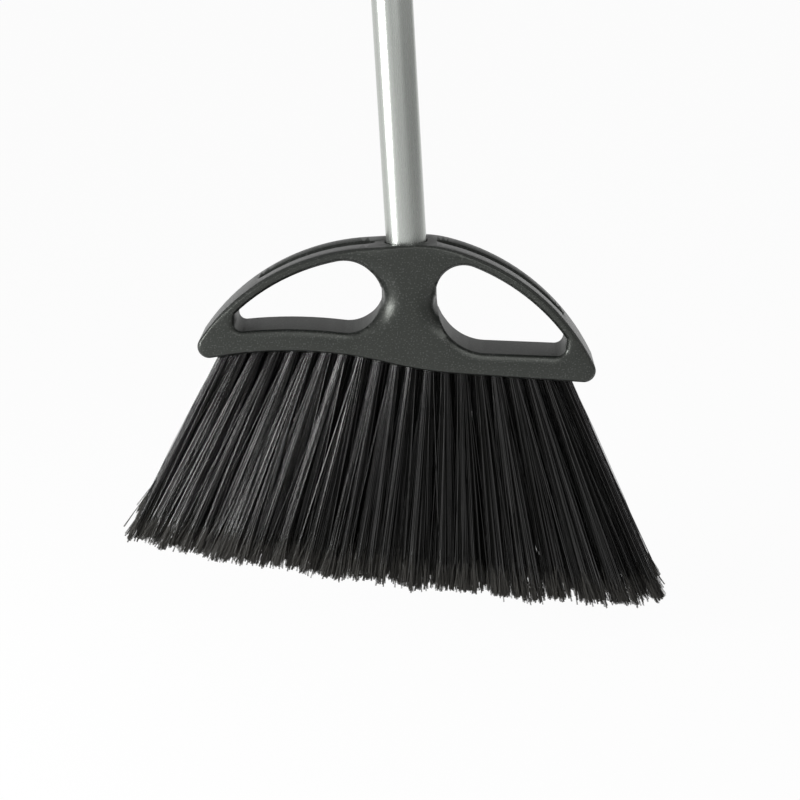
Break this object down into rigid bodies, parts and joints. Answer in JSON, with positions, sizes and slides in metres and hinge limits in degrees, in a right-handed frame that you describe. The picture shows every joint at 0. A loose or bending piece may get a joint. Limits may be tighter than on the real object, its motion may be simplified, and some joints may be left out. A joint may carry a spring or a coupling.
{
  "type": "angle_broom",
  "caption": "Angle broom with an arched charcoal head, two windows, splayed black bristles and a screw-in satin metal handle with a hang-up cap",
  "frame": {"origin": "on the handle's axis at the flat mouth of the head's socket", "axes": "+Z along the handle, away from the head; +X towards the end of the head that hangs lower; -Y towards the side seen in the picture"},
  "size_m": [0.3037, 0.048, 1.4496],
  "materials": {
    "head_plastic": "fine spark texture, matte",
    "bristle": "flagged filament, satin",
    "tube_metal": "satin",
    "tip_plastic": "matte",
    "cap_plastic": "matte"
  },
  "bodies": {
    "cap": {"hang_cap": "cap_plastic"},
    "handle": {"handle_tube": "tube_metal", "threaded_tip": "tip_plastic"},
    "head": {"broom_head": "head_plastic", "tuft_column_01": "bristle", "tuft_column_02": "bristle", "tuft_column_03": "bristle", "tuft_column_04": "bristle", "tuft_column_05": "bristle", "tuft_column_06": "bristle", "tuft_column_07": "bristle", "tuft_column_08": "bristle", "tuft_column_09": "bristle", "tuft_column_10": "bristle", "tuft_column_11": "bristle", "tuft_column_12": "bristle", "tuft_column_13": "bristle", "tuft_column_14": "bristle", "tuft_column_15": "bristle", "tuft_column_16": "bristle", "tuft_column_17": "bristle", "tuft_column_18": "bristle", "tuft_column_19": "bristle", "tuft_column_20": "bristle", "tuft_column_21": "bristle"}
  },
  "joints": [
    {"name": "head_travel", "type": "slide", "parent": "cap", "child": "head", "axis": [0, 0, -1], "range_m": [0, 0.0203]},
    {"name": "handle_turn", "type": "hinge", "parent": "cap", "child": "handle", "pos_m": [0, 0, 1.2], "axis": [0, 0, 1], "range_deg": [-30, 1470]}
  ],
  "couplings": [
    {"joint": "handle_turn", "follows": "head_travel", "rad_per_m": 1236.8}
  ]
}
